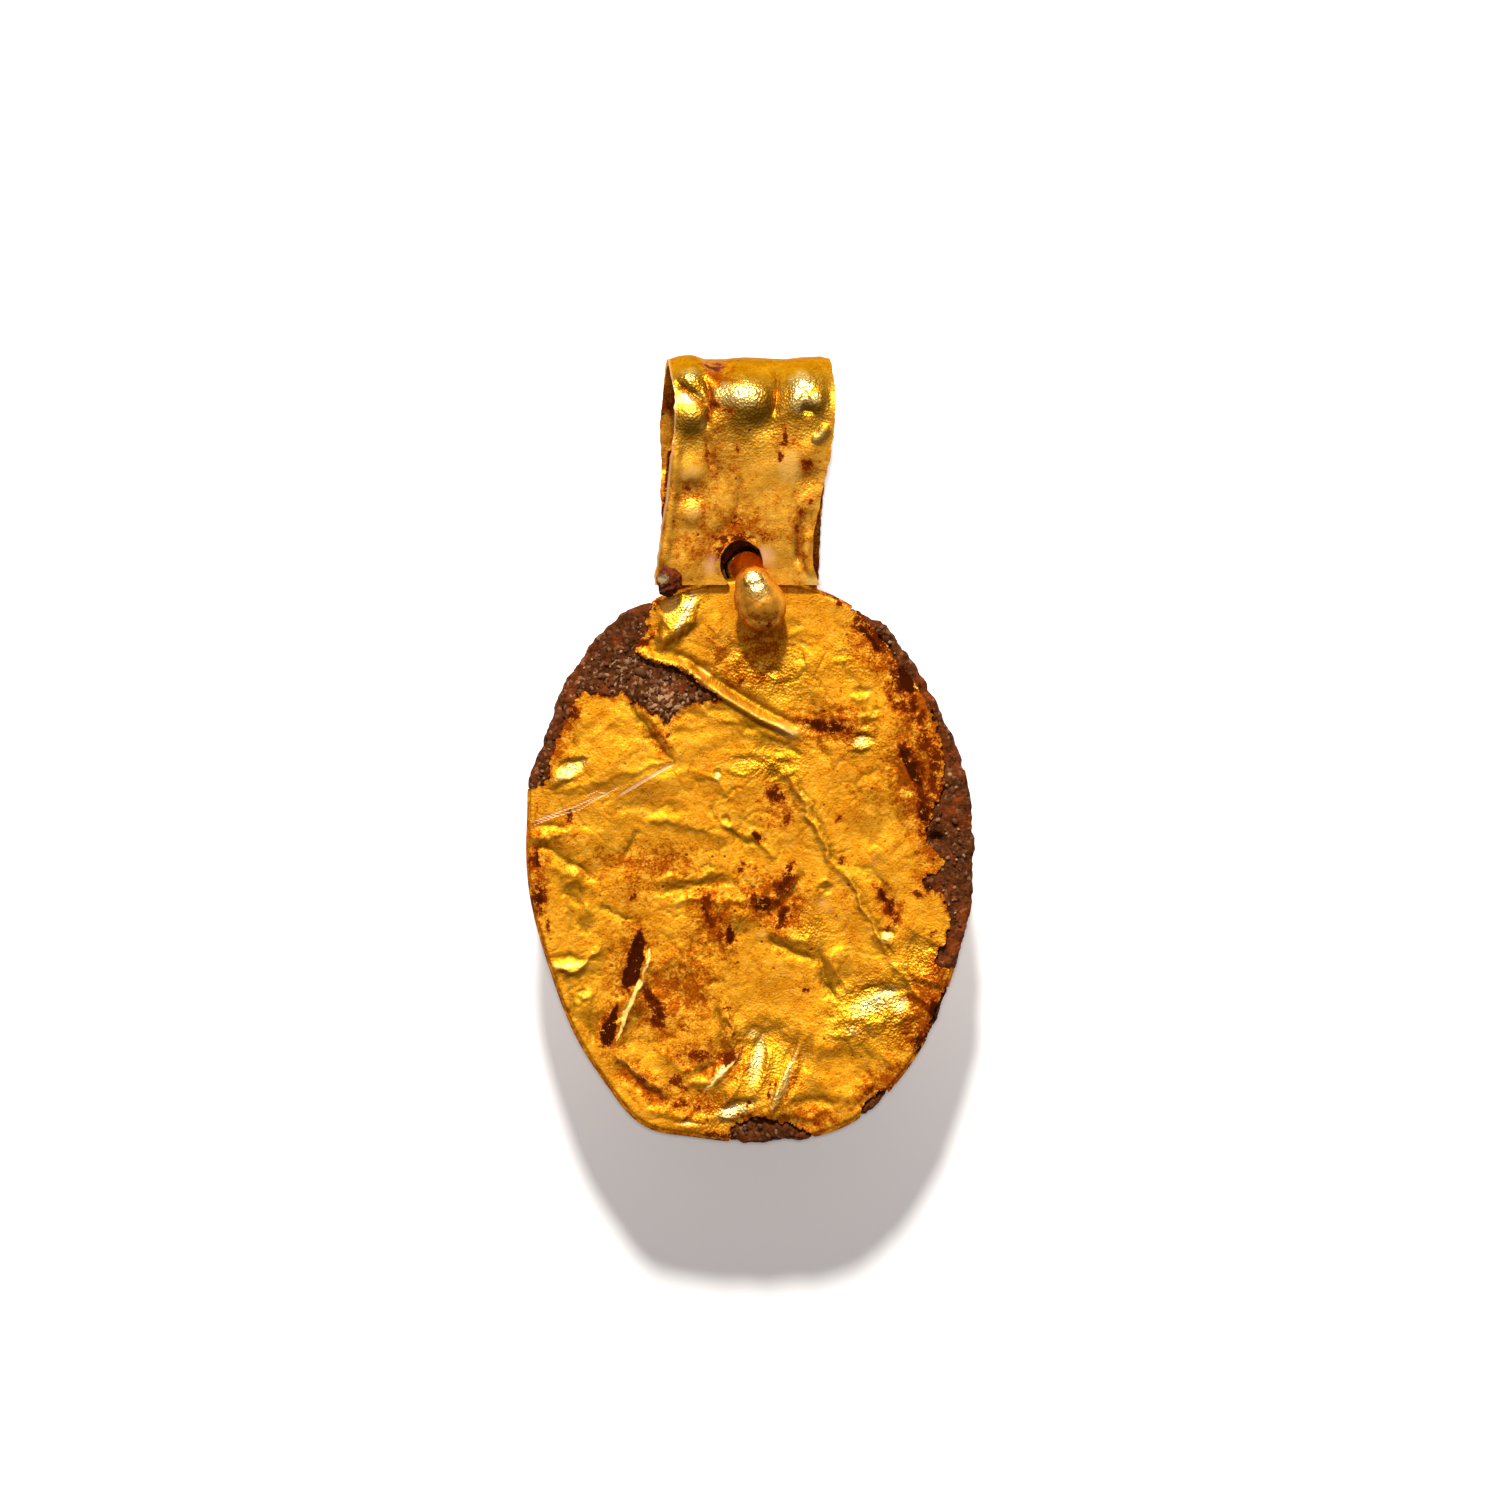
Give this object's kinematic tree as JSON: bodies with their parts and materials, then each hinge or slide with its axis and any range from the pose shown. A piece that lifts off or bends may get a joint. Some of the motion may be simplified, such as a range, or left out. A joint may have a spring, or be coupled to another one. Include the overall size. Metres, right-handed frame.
{
  "type": "medallion pendant",
  "caption": "Oval gold medallion pendant: wrinkled foil over a dark earthy core, with a folded strip bail held by a bent pin.",
  "frame": {"origin": "under the middle of the whole jewel, on the surface that it lies on", "axes": "+Z out of the wrinkled front, +Y from the medallion towards the bail, +X to the right seen from the front"},
  "size_m": [0.02, 0.0349, 0.0086],
  "materials": {
    "gold_foil": "wrinkled, satin to bright, with rust stains",
    "gold_strip": "dented, satin, with brown smears",
    "gold_pin": "worn, satin",
    "earthy_core": "rough, dark, corroded and grainy",
    "earthy_crust": "rough, dark rust crust"
  },
  "bodies": {
    "root": {"core": "earthy_core", "front_foil": "gold_foil", "back_foil": "gold_foil", "bail": "gold_strip", "pin": "gold_pin", "crust_lump": "earthy_crust"}
  },
  "joints": []
}
